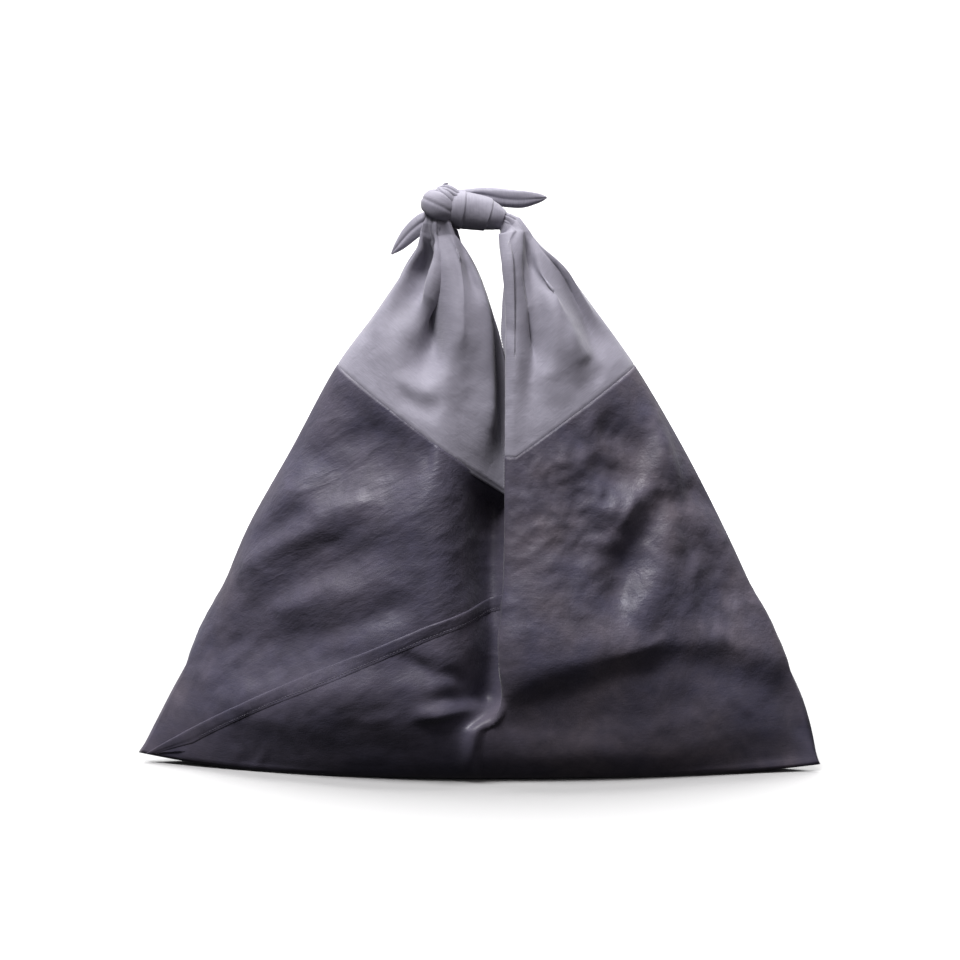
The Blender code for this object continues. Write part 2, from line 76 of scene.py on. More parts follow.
class Wire:
    """An output of a material's node. Sums and products of wires and numbers add Math nodes."""

    def __init__(self, tree, socket):
        self.tree = tree
        self.socket = socket

    def node(self, kind, settings, values, out=0):
        """A new node with its settings made first, then its sockets set or linked. Returns one of its outputs."""
        made = self.tree.nodes.new(kind)
        for name, value in settings.items():
            setattr(made, name, value)
        connect(made, values)
        return Wire(self.tree, made.outputs[out])

    def maths(self, operation, first, second):
        return self.node("ShaderNodeMath", {"operation": operation}, {0: first, 1: second})

    def __add__(self, other):
        return self.maths("ADD", self, other)

    def __sub__(self, other):
        return self.maths("SUBTRACT", self, other)

    def __rsub__(self, other):
        return self.maths("SUBTRACT", other, self)

    def __mul__(self, other):
        return self.maths("MULTIPLY", self, other)

    def ramp(self, low, high):
        """0 below low, 1 above high."""
        return self.node(
            "ShaderNodeMapRange", {"clamp": True}, {"Value": self, "From Min": low, "From Max": high}
        )

    def noise(self, place, scale, detail=3.0, rough=0.55, warp=0.0):
        values = {"Vector": place, "Scale": scale, "Detail": detail, "Roughness": rough, "Distortion": warp}
        return self.node("ShaderNodeTexNoise", {"noise_dimensions": "3D"}, values)

    def axis(self, name):
        return self.node("ShaderNodeSeparateXYZ", {}, {"Vector": self}, out=name)

    def folded(self):
        """A noise turned into sharp ridges, as in crumpled cloth."""
        return 1.0 - self.maths("ABSOLUTE", self - 0.5, 0.0)

    def mixed(self, colour, other):
        """A colour that goes from one to the other as this wire goes from 0 to 1."""
        return self.node("ShaderNodeMixRGB", {}, {"Fac": self, "Color1": colour, "Color2": other})


def connect(node, values):
    """Sets the node's sockets to the values, or links them where a value is a wire."""
    for name, value in values.items():
        if isinstance(value, Wire):
            node.id_data.links.new(value.socket, node.inputs[name])
        else:
            node.inputs[name].default_value = value


def new_finish(name):
    """A new material with its shader, and the places in the room as a wire."""
    made = bpy.data.materials.new(name)
    made.use_nodes = True
    room = Wire(made.node_tree, None).node("ShaderNodeTexCoord", {}, {}, out="Object")
    return made, made.node_tree.nodes["Principled BSDF"], room


# The paper is paler behind the bag than under it, where the lamps fall steeply.
PALER_FROM, PALER_TO = 0.3, 2.4
paper, shader, room = new_finish("white_paper")
shade = room.axis("Y").ramp(PALER_FROM, PALER_TO).mixed((0.39, 0.39, 0.39, 1), (0.97, 0.97, 0.97, 1))
connect(shader, {"Base Color": shade, "Roughness": 0.9, "Specular IOR Level": 0.1})
sweep_mesh.materials.append(paper)

# Little light comes back from below, so the underside of the bag stays dark.
sweep.visible_diffuse = False
sweep.visible_glossy = False

world = bpy.data.worlds.new("even_light")
world.use_nodes = True
LOW_LIGHT, HIGH_LIGHT = 0.02, 0.26  # how strong it is from below and from above
up = Wire(world.node_tree, None).node("ShaderNodeTexCoord", {}, {}, out="Generated").axis("Z")
sky_span = {"Value": up, "From Min": -0.3, "From Max": 0.6, "To Min": LOW_LIGHT, "To Max": HIGH_LIGHT}
strength = up.node("ShaderNodeMapRange", {}, sky_span)
connect(world.node_tree.nodes["Background"], {"Strength": strength, "Color": (0.96, 0.97, 1.0, 1)})
bpy.context.scene.world = world
LAMPS = {  # strength, width of the lamp in the sky, rotation about X and Z, colour
    "front_lamp": (4.6, 26, 29, -36, (1.0, 0.99, 1.0)),
    "back_lamp": (5.6, 46, -22, 12, (1.0, 1.0, 1.0)),
    "side_lamp": (0.35, 60, 50, 40, (1.0, 0.90, 0.90)),
}
for label, (strength, wide, tip, turn, tint) in LAMPS.items():
    lamp = placed(label, bpy.data.lights.new(label, "SUN"))
    lamp.data.energy = strength
    lamp.data.angle = math.radians(wide)
    lamp.data.color = tint
    lamp.rotation_euler = (math.radians(tip), 0, math.radians(turn))

# ==== Bag body ====
# One strip of thin crinkled charcoal nylon, folded in thirds and sewn along two slanting seams, one in front and
# one behind, so that it stands as a soft triangle with two peaks. It creases freely and its belly sags forward.
# All sizes are in millimetres until a mesh is made.
MM = 0.001
SHEET = 1.0  # thickness of the cloth
TUCK_REACH, FULL_TUCK_WIDTH = 66.0, 100.0
SIDE_LEAN = 20.0
TIP_LIFT = {"left": 5.0, "right": 2.5}
TIP_LIFT_ROWS = 4.0
ROLL_PULL, END_PULL = 1.75, 0.35
NOTCH_ROW, PARTING_ROWS, SEAM_ROW, TOP_ROW = 7, 1.5, 9, 13
# One row for each ring of the bag, from its bottom to the knot: heights at the middle and at the side fold,
# distances of the side folds, half depth, roundness, flat share, start of the round part, tucked edges and their
# depth, rolled edges and their roll.
Ring = namedtuple(
    "Ring",
    "low high left right depth power flat middle under_l under_r tuck ridge_l ridge_r bend hook roll turn",
)
RINGS = [
    Ring(0, 0, 297, 286, 0, 2.0, 0.55, 0, 11, 11, 0, 15, 15, 14, -26, 0, 0),
    Ring(0, 4, 296, 284, 44, 2.0, 0.52, 0, 11, 11, 0, 15, 15, 14, -26, 0, 0),
    Ring(5, 13, 291, 281, 60, 2.0, 0.45, 0, 11, 11, 0, 15, 15, 14, -26, 0, 0),
    Ring(20, 32, 282, 277, 74, 1.9, 0.35, 0, 11, 11, 0, 15, 15, 14, -26, 0, 0),
    Ring(46, 60, 268, 269, 84, 1.8, 0.20, 0, 8, 8, 3, 15, 15, 14, -23, 3, 15),
    Ring(72, 95, 249, 254, 87, 1.7, 0.10, 0, -19, -19, 24, 15, 15, 14, 4, 24, 105),
    Ring(108, 140, 227, 233, 86, 1.6, 0, 0, -23, -23, 30, 16, 16, 14, 7, 30, 125),
    Ring(156, 202, 201, 204, 82, 1.45, 0, 0, -24, -24, 32, 16, 16, 14, 8, 32, 130),
    Ring(204, 272, 162, 168, 75, 1.3, 0, 0, -25, -25, 34, 15, 15, 13, 12, 22, 130),
    Ring(254, 343, 123, 126, 66, 1.15, 0, 0, -25, -20, 32, 15, 15, 11, 12, 17, 140),
    Ring(306, 385, 92, 96, 53, 1.0, 0, 3, -22, 8, 27, 17, 17, 9, 10, 13, 145),
    Ring(360, 420, 68, 69, 38, 1.0, 0, 9, -17, 18, 20, 20, 18, 8, 9, 10, 150),
    Ring(410, 442, 54, 46, 24, 1.0, 0, 17, 0, 20, 9, 23, 18, 7, 4, 9, 120),
    Ring(450, 455, 52, 36, 14, 1.0, 0, 28, 24, 17, 4, 25, 14, 6, 0, 8, 80),
]
MIDDLE = (RINGS[1].left - RINGS[1].right) / 2
# One row for each main fold of a half, from row_a and angle_a to row_b and angle_b. Angles run from the tucked
# edge, 0, over the side fold, 90, to the rolled edge, 180.
Fold = namedtuple("Fold", "row_a angle_a row_b angle_b width height")
FOLDS = {
    "right": [
        Fold(8.7, 108, 5.6, 156, 9, -8),
        Fold(8.6, 146, 6.0, 148, 13, 5),
        Fold(7.8, 120, 4.2, 128, 12, 5),
        Fold(8.8, 30, 5.0, 62, 11, -5),
        Fold(15, 160, 9.5, 153, 8, -10),
        Fold(15, 143, 9.5, 126, 8, 5),
        Fold(15, 122, 9.5, 108, 8, -8),
        Fold(15, 66, 9.5, 62, 9, -8),
        Fold(15, 32, 9.8, 26, 9, -6),
    ],
    "left": [
        Fold(8.8, 58, 5.2, 74, 11, -5),
        Fold(8.2, 30, 4.8, 52, 12, 5),
        Fold(6.6, 18, 4.0, 36, 8, -4),
        Fold(8.8, 120, 5.0, 150, 10, -6),
        Fold(8.0, 146, 4.6, 122, 12, 5),
        Fold(15, 2, 9.4, 14, 9, 5),
        Fold(15, 17, 9.7, 43, 10, -12),
        Fold(15, 45, 9.4, 62, 10, 4),
        Fold(15, 68, 10, 74, 8, -5),
        Fold(15, 118, 9.6, 112, 9, -8),
        Fold(15, 146, 9.3, 152, 9, -7),
    ],
}
FOLD_RISE, FOLD_FALL = 1 / 4, 1 / 2.5
GATHER_FROM, GATHER_LEAST = 60.0, 0.3
Bulge = namedtuple("Bulge", "row angle rows angles height")
BULGES = {
    "right": [
        Bulge(5.9, 135, 0.9, 26, 7),
        Bulge(3.7, 132, 0.9, 28, -6),
    ],
    "left": [
        Bulge(5.2, 45, 1.2, 25, 3),
    ],
}
DENSE = 160


def slopes(values):
    """Slopes for a curve through values that never overshoots them."""
    steps = np.diff(values, axis=0)
    inner = np.zeros_like(values)
    before, after = steps[:-1], steps[1:]
    same = before * after > 0
    total = np.where(same, before + after, 1.0)
    inner[1:-1] = np.where(same, 2 * before * after / total, 0.0)
    inner[0], inner[-1] = steps[0], steps[-1]
    return inner


def between(table, row):
    """The table's values at a row number that need not be whole."""
    values = np.array(table, float)
    tilt = slopes(values)
    i = min(int(row), len(values) - 2)
    t = row - i
    a, b = 2 * t**3 - 3 * t**2 + 1, t**3 - 2 * t**2 + t
    c, d = -2 * t**3 + 3 * t**2, t**3 - t**2
    return a * values[i] + b * tilt[i] + c * values[i + 1] + d * tilt[i + 1]


def smooth(t):
    t = np.clip(t, 0, 1)
    return t * t * (3 - 2 * t)


def spaced(points, count):
    """count + 1 points at even distances along a line of points."""
    run = np.concatenate([[0], np.cumsum(np.linalg.norm(np.diff(points, axis=0), axis=1))])
    wanted = np.linspace(0, run[-1], count + 1)
    return np.stack([np.interp(wanted, run, points[:, k]) for k in range(points.shape[1])], axis=1)


def of_side(ring, side):
    """Side fold, tucked edge, roll and rolled edge of one half of a ring."""
    if side == "left":
        return ring.left, ring.under_l, ring.ridge_l, ring.ridge_l + ring.hook
    return ring.right, ring.under_r, ring.ridge_r, ring.ridge_r + ring.hook


def height(ring, row, side, p):
    share = p / of_side(ring, side)[0]
    lift = TIP_LIFT[side] * smooth(1 - row / TIP_LIFT_ROWS)
    rise = np.maximum(share - ring.flat, 0 if ring.flat > 0 else -1) / (1 - ring.flat)
    rise = np.where(rise > 0, np.abs(rise) ** (1 + 2 * ring.flat), rise)
    return ring.low + (ring.high + lift - ring.low) * rise


def section_of(ring, reach, p):
    """Depth of the plain section at distance p and the angle that it has come round."""
    share = np.clip((p - ring.middle) / (reach - ring.middle), -1, 1)
    depth = ring.depth * (1 - np.clip(share, 0, 1) ** 2) ** (ring.power / 2)
    return depth, np.degrees(np.arcsin(share))


def raised(ring, line, angles, row, side):
    """The line moved along its outward normal by the folds and bulges that it crosses."""
    gather = np.clip((of_side(ring, side)[0] - ring.middle) / GATHER_FROM, GATHER_LEAST, 1)
    lift = np.zeros(len(line))
    for fold in FOLDS[side]:
        along = (row - fold.row_a) / (fold.row_b - fold.row_a)
        if not 0 < along < 1:
            continue
        centre = fold.angle_a + along * (fold.angle_b - fold.angle_a)
        strength = gather * smooth(along / FOLD_RISE) * smooth((1 - along) / FOLD_FALL)
        width = fold.width / math.sqrt(gather)
        lift += fold.height * strength * np.exp(-(((angles - centre) / width) ** 2))
    for bulge in BULGES[side]:
        away = ((angles - bulge.angle) / bulge.angles) ** 2 + ((row - bulge.row) / bulge.rows) ** 2
        lift += bulge.height * np.exp(-away)
    run = np.gradient(line, axis=0)
    run /= np.linalg.norm(run, axis=1, keepdims=True) + 1e-9
    return line + np.stack([-run[:, 1], run[:, 0]], axis=1) * lift[:, None]


def half_ring(row, side, columns):
    """One half of a ring, from its tucked edge over the side fold to its rolled edge."""
    ring = Ring(*between(RINGS, row))
    reach, tucked, ridge, edge = of_side(ring, side)
    t = np.sin(np.linspace(0, math.pi / 2, DENSE))
    p = tucked + (reach - tucked) * t
    start = tucked + TUCK_REACH * min(1, reach / FULL_TUCK_WIDTH)
    depth, angles = section_of(ring, reach, p)
    line = np.stack([p, depth - ring.tuck * smooth((start - p) / (start - tucked))], axis=1)
    under = spaced(raised(ring, line[::-1], angles[::-1], row, side)[::-1], columns[0])

    begin = ridge + ring.bend
    p = begin + (reach - begin) * np.cos(np.linspace(0, math.pi / 2, DENSE))
    depth, angles = section_of(ring, reach, p)
    line = np.stack([p, -depth], axis=1)
    over = spaced(raised(ring, line[::-1], 180 - angles[::-1], row, side)[::-1], columns[1])

    first, last = over[-1], np.array([edge, ring.roll - ring.depth])
    turn = math.radians(ring.turn)
    a = first - np.array([ROLL_PULL * ring.bend, 0])
    b = last + np.array([math.cos(turn), -math.sin(turn)]) * END_PULL * np.linalg.norm(last - first)
    t = np.linspace(0, 1, DENSE)[:, None]
    roll = (1 - t) ** 3 * first + 3 * t * (1 - t) ** 2 * a + 3 * t**2 * (1 - t) * b + t**3 * last
    roll = spaced(roll, columns[2])

    other = "right" if side == "left" else "left"
    joined = height(ring, row, other, np.array([-edge]))[0]
    parted = height(ring, row, side, np.array([edge]))[0]
    end_z = joined + smooth((row - NOTCH_ROW) / PARTING_ROWS) * (parted - joined)
    over_z = height(ring, row, side, over[:, 0])
    roll_z = over_z[-1] + np.linspace(0, 1, columns[2] + 1) * (end_z - over_z[-1])
    z = np.concatenate([height(ring, row, side, under[:, 0]), over_z[1:], roll_z[1:]])
    flat = np.concatenate([under, over[1:], roll[1:]])
    flat[:, 1] -= SIDE_LEAN * np.clip(flat[:, 0] / RINGS[0].left, 0, 1) ** 2
    way = -1 if side == "left" else 1
    return np.stack([way * flat[:, 0] + MIDDLE, way * flat[:, 1], z], axis=1)


def rows_between(first, last, count):
    """Row numbers whose rings lie at even heights."""
    rows = np.linspace(first, last, 400)
    levels = [ring.low + ring.high for ring in (Ring(*between(RINGS, row)) for row in rows)]
    return np.interp(np.linspace(levels[0], levels[-1], count), levels, rows)


def outward(grid, side):
    """Unit normals of a grid of points, which leave the cloth on its outer face."""
    normal = np.cross(np.gradient(grid, axis=1), np.gradient(grid, axis=0))
    normal /= np.linalg.norm(normal, axis=2, keepdims=True) + 1e-9
    middle = grid.shape[1] // 2
    away = -1 if side == "left" else 1
    return normal if (normal[:, middle - 8 : middle + 8, 0] * away).mean() > 0 else -normal


# Creases that fall where the cloth is pulled or pushed together. Each runs from one place to another as seen from
# in front, in a shallow bow, with a ridge (or trough) along it and a step from one side to the other.
Crease = namedtuple("Crease", "x1 z1 x2 z2 bow width ridge step face", defaults=(0, "front"))
BODY_CREASES = [
    # left panel in front: the ridge beside the tuck, the ledge at its foot and the dents under the seam
    Crease(-40, 292, -44, 120, 4, 20, 5.5),
    Crease(26, 310, 28, 14, 0, 29, -24.0, face="front_left"),
    Crease(-58, 64, 42, 64, 2, 7, 6.0, -4.0, face="front_left"),
    Crease(-64, 110, -28, 86, 3, 7, -3.6),
    Crease(-34, 98, -4, 80, 4, 6, -3.4),
    Crease(-72, 92, -34, 66, 4, 9, 2.0),
    # left panel: the steep top, the bend under it and slanting waves below
    Crease(-178, 250, -16, 262, -16, 24, 0, -5.5),
    Crease(-120, 330, -60, 262, -6, 22, -3.5),
    Crease(-206, 162, -132, 212, 4, 12, 3.6),
    Crease(-180, 130, -92, 168, 4, 10, 3.4),
    Crease(-215, 150, -70, 250, 9, 12, 2.0, -2.0),
    Crease(-205, 128, -60, 208, 7, 10, -2.4),
    Crease(-190, 116, -40, 190, 6, 11, 2.6, -1.2),
    Crease(-165, 100, -30, 160, 5, 9, -2.2),
    Crease(-160, 262, -60, 296, 6, 10, -2.0),
    Crease(-175, 215, -110, 262, 4, 8, 2.0),
    Crease(-140, 190, -80, 228, -4, 7, -2.0),
    # under the seam: the swell beside it
    Crease(-130, 60, -44, 72, 9, 14, 1.6, 1.5),
    Crease(-250, 30, 0, 46, 4, 24, 0, 5.0),
    # puckers that leave the tie's seam
    Crease(-47, 309, -60, 262, 3, 5, 1.4),
    Crease(-38, 303, -44, 258, 2, 4, -1.3),
    Crease(-30, 297, -36, 250, 2, 5, 1.5),
    Crease(-72, 322, -92, 280, 3, 6, -1.2),
    Crease(34, 285, 40, 240, -2, 5, -1.3),
    Crease(48, 294, 58, 250, -3, 6, 1.4),
    Crease(76, 310, 92, 268, -3, 6, -1.6),
    Crease(92, 320, 112, 276, -4, 6, 1.4),
    # right panel: the long bent hollow and the swell on each side of it, and the hollow under the tie's seam
    Crease(184, 262, 112, 112, -20, 15, -8.0),
    Crease(214, 236, 170, 118, -16, 18, 5.0),
    Crease(150, 262, 84, 132, -9, 18, 4.5),
    Crease(60, 262, 54, 120, 3, 14, 2.4),
    Crease(92, 302, 150, 262, 2, 15, -7.0),
    Crease(84, 262, 150, 244, -8, 12, 0, -4.5),
    Crease(176, 250, 214, 196, 4, 11, -4.0),
    Crease(206, 212, 150, 150, -6, 9, -2.0),
    Crease(80, 232, 142, 214, 4, 9, 2.2, -1.5),
    Crease(70, 196, 132, 180, 4, 8, -2.0),
    # the belly's edge, over which the cloth turns under
    Crease(8, 64, 164, 112, 9, 12, 2.2, 2.5),
    Crease(90, 104, 278, 62, 26, 12, 3.0, 2.5),
    Crease(-70, 66, 320, 66, 20, 36, 0, 9.5),
    Crease(250, 96, 286, 16, -2, 8, -2.4),
]
# Patches of small crinkles: where they lie, how many, how long and wide, how high, and which way they run.
Patch = namedtuple("Patch", "x z across up count length width height angle spread face", defaults=("front",))
BODY_PATCHES = [
    Patch(-120, 200, 90, 90, 40, 46, 5.0, 0.5, 26, 14),
    Patch(-200, 90, 60, 55, 46, 30, 3.8, 0.7, 66, 16),
    Patch(-70, 90, 60, 26, 12, 30, 5.0, 0.5, 20, 20),
    Patch(110, 200, 80, 80, 60, 26, 4.0, 0.6, 40, 60),
    Patch(75, 260, 50, 40, 26, 20, 3.6, 0.7, 60, 50),
    Patch(200, 140, 55, 70, 30, 30, 4.4, 0.6, 118, 30),
    Patch(60, 40, 200, 30, 16, 50, 7.0, 0.4, 8, 12),
]
# Areas of crumpled cloth: where they lie, the size of their facets, how much longer these are along the angle,
# how high they stand, and whether their ridges are sharp.
Crumple = namedtuple("Crumple", "x z across up size stretch angle height sharp face", defaults=("front",))
BODY_CRUMPLES = [
    Crumple(-120, 190, 130, 130, 44, 2.4, 27, 3.2, False),
    Crumple(-120, 190, 140, 140, 17, 2.0, 30, 1.5, True),
    Crumple(-190, 90, 80, 70, 15, 2.2, 64, 1.6, True),
    Crumple(120, 200, 120, 120, 40, 1.3, 50, 3.0, False),
    Crumple(110, 210, 110, 110, 15, 1.3, 40, 2.2, True),
    Crumple(215, 130, 80, 90, 17, 1.8, 116, 1.8, True),
    Crumple(0, 30, 260, 50, 50, 3.0, 5, 1.6, False),
]
CREASE_END = 0.3  # share of a crease over which it rises
LEAST_CRUMPLE = 0.04  # weight below which an area's crumples are left out
FACING_SLOPE, FACING_START = 1.5, 0.15  # how fast the creases fade where the cloth turns away to the side


def crease_lift(x, z, crease):
    """How far one crease lifts the cloth at each of the places (x, z)."""
    way = np.array([crease.x2 - crease.x1, crease.z2 - crease.z1], float)
    length = np.hypot(*way)
    along = ((x - crease.x1) * way[0] + (z - crease.z1) * way[1]) / length**2
    off = ((z - crease.z1) * way[0] - (x - crease.x1) * way[1]) / length
    t = (off - crease.bow * 4 * along * (1 - along)) / crease.width
    ends = smooth(along / CREASE_END) * smooth((1 - along) / CREASE_END)
    return ends * (crease.ridge * np.exp(-t * t) + crease.step * t * np.exp((1 - t * t) / 2))


def turned_round(rows):
    """The same creases or areas on the other face, because the bag looks alike when it is turned half round."""
    made = []
    for row in rows:
        face = {"front": "back", "front_left": "back_right"}[row.face]
        if isinstance(row, Crease):
            x1, x2 = 2 * MIDDLE - row.x1, 2 * MIDDLE - row.x2
            made.append(row._replace(face=face, x1=x1, x2=x2, bow=-row.bow, step=-row.step))
        else:
            made.append(row._replace(face=face, x=2 * MIDDLE - row.x, angle=180 - row.angle))
    return made


def crinkles(patches, seed):
    """The small creases of all patches."""
    draw = np.random.default_rng(seed)
    made = []
    for patch in patches:
        for _ in range(patch.count):
            x = patch.x + patch.across * np.clip(draw.normal(0, 0.6), -1.4, 1.4)
            z = patch.z + patch.up * np.clip(draw.normal(0, 0.6), -1.4, 1.4)
            turn = math.radians(patch.angle + draw.normal(0, patch.spread))
            reach = patch.length * draw.uniform(0.5, 1.6) / 2
            width = patch.width * draw.uniform(0.7, 1.5)
            lift = patch.height * draw.uniform(0.4, 1.5) * (1 if draw.random() < 0.6 else -1)
            bow = reach * draw.normal(0, 0.16)
            dx, dz = reach * math.cos(turn), reach * math.sin(turn)
            made.append(Crease(x - dx, z - dz, x + dx, z + dz, bow, width, lift, 0, patch.face))
    return made


def crumple_lift(x, z, crumple, facing):
    """How far one area of crumpled cloth lifts each of the places (x, z) that face its way."""
    weight = facing * np.exp(-(((x - crumple.x) / crumple.across) ** 2) - ((z - crumple.z) / crumple.up) ** 2)
    turn = math.radians(crumple.angle)
    along = (x * math.cos(turn) + z * math.sin(turn)) / crumple.size / crumple.stretch
    off = (z * math.cos(turn) - x * math.sin(turn)) / crumple.size
    lift = np.zeros(x.shape)
    for index in np.argwhere(weight > LEAST_CRUMPLE):
        place = Vector((along[tuple(index)], off[tuple(index)], crumple.size))
        if crumple.sharp:
            value = 0.45 - noise.turbulence(place, 3, True, noise_basis="PERLIN_ORIGINAL")
        else:
            value = noise.fractal(place, 0.9, 2.0, 2, noise_basis="PERLIN_ORIGINAL")
        lift[tuple(index)] = value
    return lift * weight * crumple.height


def creased(grid, side, creases, crumples, fade):
    """The grid of points moved outward by the creases and crumples on its face."""
    normal = outward(grid, side)
    lift = np.zeros(grid.shape[:2])
    facing = {
        "front": smooth(-FACING_SLOPE * normal[:, :, 1] - FACING_START),
        "back": smooth(FACING_SLOPE * normal[:, :, 1] - FACING_START),
    }
    facing["front_left"] = facing["front"] * (side == "left")
    facing["back_right"] = facing["back"] * (side == "right")
    for crease in creases:
        lift += facing[crease.face] * crease_lift(grid[:, :, 0], grid[:, :, 2], crease)
    for crumple in crumples:
        lift += crumple_lift(grid[:, :, 0], grid[:, :, 2], crumple, facing[crumple.face])
    return grid + normal * (lift * fade)[:, :, None]


def cloth_places(grid):
    """Where each point of a grid lies on the flat cloth: its distances along the cloth, across and up."""
    across = np.zeros(grid.shape[:2])
    up = np.zeros(grid.shape[:2])
    across[:, 1:] = np.cumsum(np.linalg.norm(np.diff(grid, axis=1), axis=2), axis=1)
    up[1:, :] = np.cumsum(np.linalg.norm(np.diff(grid, axis=0), axis=2), axis=0)
    middle = grid.shape[1] // 2
    return np.stack([across - across[:, middle : middle + 1], up], axis=2)


def grid_mesh(name, grids, closed=False):
    """One mesh of several grids of points, each with its places on the flat cloth. Equal points become one."""
    points, faces, places, start = [], [], [], 0
    for grid, flat in grids:
        rows, columns = grid.shape[:2]
        points.append(grid.reshape(-1, 3) * MM)
        index = start + np.arange(rows * columns).reshape(rows, columns)
        place = flat.reshape(-1, 2) * MM
        nexts = np.roll(index, -1, axis=1) if closed else index[:, 1:]
        here = index if closed else index[:, :-1]
        quads = np.stack([here[:-1], nexts[:-1], nexts[1:], here[1:]], axis=2).reshape(-1, 4)
        faces.append(quads)
        places.append(place[quads - start].reshape(-1, 2))
        start += rows * columns
    mesh = bpy.data.meshes.new(name)
    mesh.from_pydata(np.concatenate(points).tolist(), [], np.concatenate(faces).tolist())
    layer = mesh.uv_layers.new(name="cloth")
    layer.data.foreach_set("uv", np.concatenate(places).ravel())
    bm = bmesh.new()
    bm.from_mesh(mesh)
    bmesh.ops.remove_doubles(bm, verts=bm.verts, dist=0.02 * MM)
    bmesh.ops.dissolve_degenerate(bm, edges=bm.edges, dist=0.005 * MM)
    bmesh.ops.recalc_face_normals(bm, faces=bm.faces)
    bm.to_mesh(mesh)
    bm.free()
    mesh.shade_smooth()
    return placed(name, mesh)


def applied(piece):
    """The piece with its modifiers made into a plain mesh."""
    bpy.context.view_layer.update()
    result = bpy.data.meshes.new_from_object(piece.evaluated_get(bpy.context.evaluated_depsgraph_get()))
    piece.modifiers.clear()
    piece.data = result
    return piece


def thickened(piece, thickness):
    """The sheet with its thickness inward, as a plain mesh."""
    solid = piece.modifiers.new("thickness", "SOLIDIFY")
    solid.thickness = thickness * MM
    solid.offset = -1
    solid.use_even_offset = False
    return applied(piece)


BODY_COLUMNS = (84, 74, 18)
BODY_RINGS = 112
LENS_ROWS = 10
LOW_RINGS = 64  # how many of the rings lie below the notch
# The creases fade over this many columns at the joined edges, and over these shares of rows at the bottom and at
# the ties' seam, where the least share stays.
EDGE_COLUMNS, BOTTOM_ROWS, SEAM_ROWS, SEAM_LEAST = 4, 1.2, 0.3, 0.3
low_rows = rows_between(1, NOTCH_ROW, LOW_RINGS)
body_rows = np.concatenate([low_rows, rows_between(NOTCH_ROW, SEAM_ROW, BODY_RINGS - LOW_RINGS)[1:]])
body_creases = BODY_CREASES + crinkles(BODY_PATCHES, 11)
body_creases += turned_round(body_creases)
body_crumples = BODY_CRUMPLES + turned_round(BODY_CRUMPLES)
halves = {}
for side in ("left", "right"):
    plain = np.array([half_ring(row, side, BODY_COLUMNS) for row in body_rows])
    from_edge = np.minimum(np.arange(plain.shape[1]), np.arange(plain.shape[1])[::-1])
    fade = np.tile(smooth(from_edge / EDGE_COLUMNS), (len(body_rows), 1))
    fade *= smooth((body_rows - 1) / BOTTOM_ROWS)[:, None]
    fade *= SEAM_LEAST + (1 - SEAM_LEAST) * smooth((SEAM_ROW - body_rows) / SEAM_ROWS)[:, None]
    halves[side] = creased(plain, side, body_creases, body_crumples, fade)
shared = body_rows <= NOTCH_ROW + 1e-6
halves["left"][shared, -1] = halves["right"][shared, 0]
halves["right"][shared, -1] = halves["left"][shared, 0]
# The flat underside closes the lowest ring, from its front line to its back line.
fold_at = BODY_COLUMNS[0]
left, right = halves["left"][0], halves["right"][0]
lens_front = np.concatenate([left[fold_at::-1], right[-2 : fold_at - 1 : -1]])
lens_back = np.concatenate([left[fold_at:], right[1 : fold_at + 1]])
t = np.linspace(0, 1, LENS_ROWS + 1)[:, None, None]
lens = (1 - t) * lens_front + t * lens_back
body_grids = [(halves[side], cloth_places(halves[side])) for side in halves] + [(lens, lens[:, :, :2])]
body = thickened(grid_mesh("body_cloth", body_grids), SHEET)


def threads(flat, turn, thick, length):
    """Uneven threads that run at an angle on the flat cloth, as a noise drawn out along them."""
    places = flat.node(
        "ShaderNodeMapping",
        {"vector_type": "POINT"},
        {"Vector": flat, "Rotation": (0, 0, math.radians(turn)), "Scale": (1 / length, 1 / thick, 1)},
    )
    return flat.noise(places, 1.0, detail=2.0)


nylon, shader, room = new_finish("charcoal_nylon")
flat = room.node("ShaderNodeUVMap", {"uv_map": "cloth"}, {})
# DARK is the random mottle. The lighter taupe is painted sheen: patches of base colour that stand in for light caught
# by the nylon. It also lightens the paler threads of the weave.
DARK, VIOLET, TAUPE_SHEEN_AND_WEAVE = (0.030, 0.028, 0.044, 1), (0.062, 0.058, 0.092, 1), (0.118, 0.100, 0.120, 1)
STREAK = math.radians(26)  # the streaks rise to the right on both faces, as seen from in front of each
in_front = room.axis("Y").ramp(0.012, -0.012)


def across_face(way):
    """How far to the right, as seen from in front (1) or from behind (-1)."""
    return room.axis("X") * way


def streaks_on(way):
    along = across_face(way) * math.cos(STREAK) + room.axis("Z") * math.sin(STREAK)
    off = room.axis("Z") * math.cos(STREAK) - across_face(way) * math.sin(STREAK)
    places = room.node("ShaderNodeCombineXYZ", {}, {"X": along * 0.3, "Y": off, "Z": room.axis("Y")})
    return places.noise(places, 70.0, detail=5.0, rough=0.6).folded()


# The right-hand panel of each face, as seen from in front of that face. The painted sheen is stronger there, and the
# cloth is crumpled rather than streaked.
right_hand = across_face(1).ramp(-0.02, 0.06) * in_front + across_face(-1).ramp(-0.03, 0.05) * (1.0 - in_front)
# Patches of painted sheen: lighter taupe in the base colour where the nylon would catch the light.
sheen_patches = room.noise(room, 16.0, detail=3.0).ramp(0.38, 0.64)
mottle = room.noise(room, 60.0, detail=5.0, warp=0.6).ramp(0.32, 0.68)
warp_threads = threads(flat, 45, 0.0009, 0.012)
weft_threads = threads(flat, -45, 0.0009, 0.012)
weave = (warp_threads + weft_threads) * 0.5
